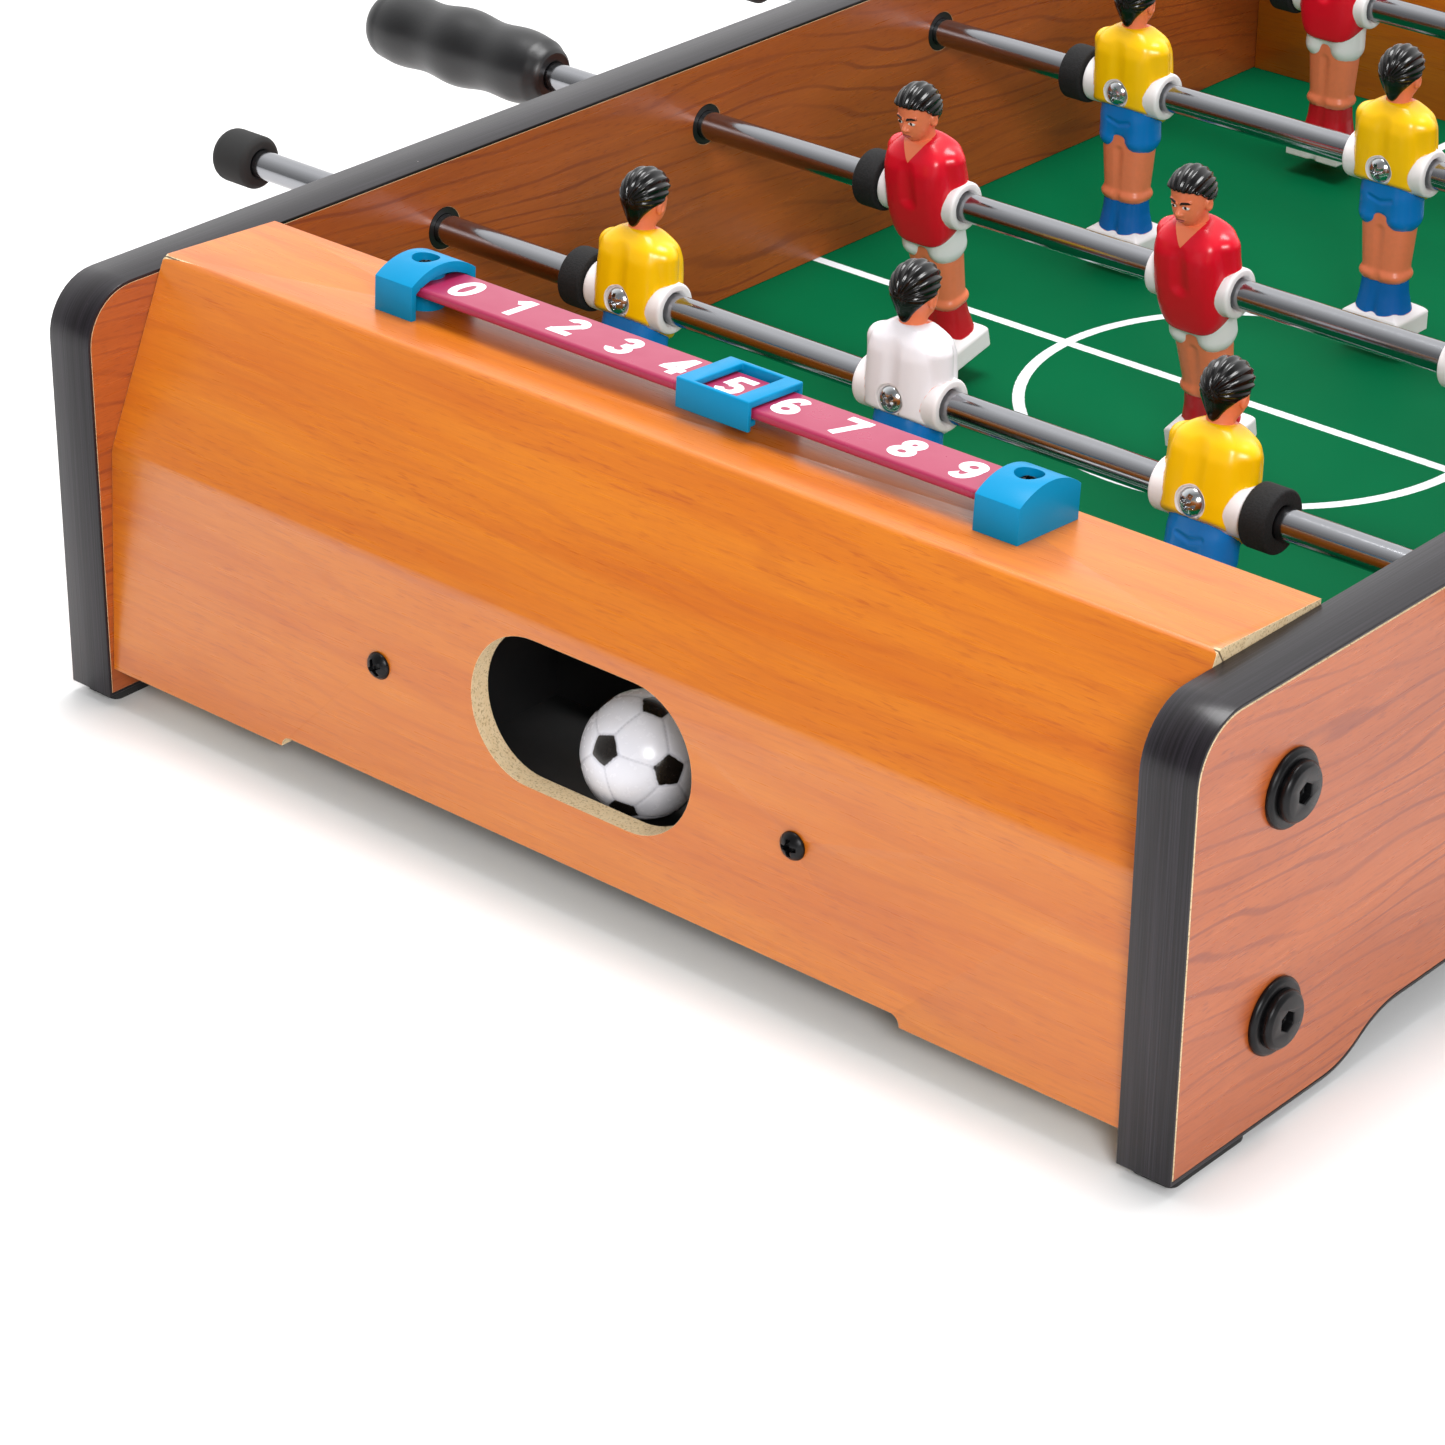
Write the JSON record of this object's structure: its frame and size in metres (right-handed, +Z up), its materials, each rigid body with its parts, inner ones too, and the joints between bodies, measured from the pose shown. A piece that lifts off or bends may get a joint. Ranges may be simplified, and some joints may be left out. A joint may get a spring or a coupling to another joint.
{
  "type": "tabletop foosball table",
  "caption": "Tabletop football game: a timber frame with a green pitch, rods of players that slide and spin, a ball return and a score rail at each end.",
  "frame": {"origin": "on the ground under the middle of the table", "axes": "+X along the rods, +Y along the pitch from the end with the open view to the far end, +Z up"},
  "size_m": [0.5236, 0.495, 0.1128],
  "materials": {
    "cherry_board": "cherry-look melamine foil on MDF, satin",
    "amber_board": "beech-look melamine foil on MDF, satin",
    "raw_mdf": "bare sanded MDF and pine",
    "edge_tape": "dark wood-look ABS edge tape, fine grain",
    "pitch_print": "green printed hardboard with white lines, semi-matt",
    "black_plastic": "moulded black ABS",
    "black_rubber": "black rubber and EVA foam",
    "black_steel": "black oxide steel",
    "zinc_steel": "bright zinc plated steel",
    "chrome_tube": "chromed steel tube",
    "raspberry_plastic": "moulded pink-red ABS with white printed numbers",
    "blue_plastic": "moulded blue ABS",
    "ball_plastic": "white ABS ball with printed black panels",
    "yellow_player": "moulded ABS player painted in a yellow kit",
    "red_player": "moulded ABS player painted in a red kit",
    "keeper_player": "moulded ABS goalkeeper painted in a white kit",
    "grip_plastic": "moulded black plastic handle"
  },
  "bodies": {
    "table": {"left_side_panel": "cherry_board", "right_side_panel": "cherry_board", "left_edge_band": "edge_tape", "right_edge_band": "edge_tape", "front_end_board": "amber_board", "back_end_board": "amber_board", "front_goal_wall": "amber_board", "back_goal_wall": "amber_board", "pitch_board": "pitch_print", "corner_blocks": "raw_mdf", "front_ball_tray": "black_plastic", "back_ball_tray": "black_plastic", "rod_bushings": "black_plastic", "rubber_feet": "black_rubber", "tray_screws": "black_steel", "side_bolts": "black_steel", "side_washers": "black_steel", "rail_cap_screws": "black_steel", "threaded_inserts": "zinc_steel", "front_score_rail": "raspberry_plastic", "front_rail_caps": "blue_plastic", "back_score_rail": "raspberry_plastic", "back_rail_caps": "blue_plastic"},
    "rod_1_rings": {"rod_1_bumpers": "black_rubber"},
    "rod_1_bar": {"rod_1": "chrome_tube", "rod_1_handle": "grip_plastic", "rod_1_safety_cap": "black_rubber", "rod_1_man_screws": "zinc_steel", "rod_1_left_man": "yellow_player", "rod_1_keeper": "keeper_player", "rod_1_right_man": "yellow_player"},
    "rod_2_rings": {"rod_2_bumpers": "black_rubber"},
    "rod_2_bar": {"rod_2": "chrome_tube", "rod_2_handle": "grip_plastic", "rod_2_safety_cap": "black_rubber", "rod_2_man_screws": "zinc_steel", "rod_2_left_man": "red_player", "rod_2_middle_man": "red_player", "rod_2_right_man": "red_player"},
    "rod_3_rings": {"rod_3_bumpers": "black_rubber"},
    "rod_3_bar": {"rod_3": "chrome_tube", "rod_3_handle": "grip_plastic", "rod_3_safety_cap": "black_rubber", "rod_3_man_screws": "zinc_steel", "rod_3_left_man": "yellow_player", "rod_3_middle_man": "yellow_player", "rod_3_right_man": "yellow_player"},
    "rod_4_rings": {"rod_4_bumpers": "black_rubber"},
    "rod_4_bar": {"rod_4": "chrome_tube", "rod_4_handle": "grip_plastic", "rod_4_safety_cap": "black_rubber", "rod_4_man_screws": "zinc_steel", "rod_4_left_man": "red_player", "rod_4_keeper": "keeper_player", "rod_4_right_man": "red_player"},
    "front_slider": {"front_score_slider": "blue_plastic"},
    "back_slider": {"back_score_slider": "blue_plastic"},
    "front_ball": {"front_ball": "ball_plastic"},
    "back_ball": {"back_ball": "ball_plastic"}
  },
  "joints": [
    {"name": "rod_1_push", "type": "slide", "parent": "table", "child": "rod_1_rings", "axis": [1, 0, 0], "range_m": [-0.0415, 0.0441]},
    {"name": "rod_1_spin", "type": "hinge", "parent": "rod_1_rings", "child": "rod_1_bar", "pos_m": [-0.0013, -0.138, 0.0825], "axis": [1, 0, 0], "continuous": true},
    {"name": "rod_2_push", "type": "slide", "parent": "table", "child": "rod_2_rings", "axis": [1, 0, 0], "range_m": [-0.0514, 0.0342]},
    {"name": "rod_2_spin", "type": "hinge", "parent": "rod_2_rings", "child": "rod_2_bar", "pos_m": [0.0086, -0.046, 0.0825], "axis": [1, 0, 0], "continuous": true},
    {"name": "rod_3_push", "type": "slide", "parent": "table", "child": "rod_3_rings", "axis": [1, 0, 0], "range_m": [-0.0428, 0.0428]},
    {"name": "rod_3_spin", "type": "hinge", "parent": "rod_3_rings", "child": "rod_3_bar", "pos_m": [0, 0.046, 0.0825], "axis": [1, 0, 0], "continuous": true},
    {"name": "rod_4_push", "type": "slide", "parent": "table", "child": "rod_4_rings", "axis": [1, 0, 0], "range_m": [-0.0428, 0.0428]},
    {"name": "rod_4_spin", "type": "hinge", "parent": "rod_4_rings", "child": "rod_4_bar", "pos_m": [0, 0.138, 0.0825], "axis": [1, 0, 0], "continuous": true},
    {"name": "front_score", "type": "slide", "parent": "table", "child": "front_slider", "axis": [1, 0, 0], "range_m": [-0.07225, 0.05735]},
    {"name": "back_score", "type": "slide", "parent": "table", "child": "back_slider", "axis": [1, 0, 0], "range_m": [-0.10205, 0.02755]},
    {"name": "front_ball_roll", "type": "slide", "parent": "table", "child": "front_ball", "axis": [1, 0, 0], "range_m": [-0.0356, 0.0326]},
    {"name": "back_ball_roll", "type": "slide", "parent": "table", "child": "back_ball", "axis": [1, 0, 0], "range_m": [-0.0481, 0.0201]}
  ]
}
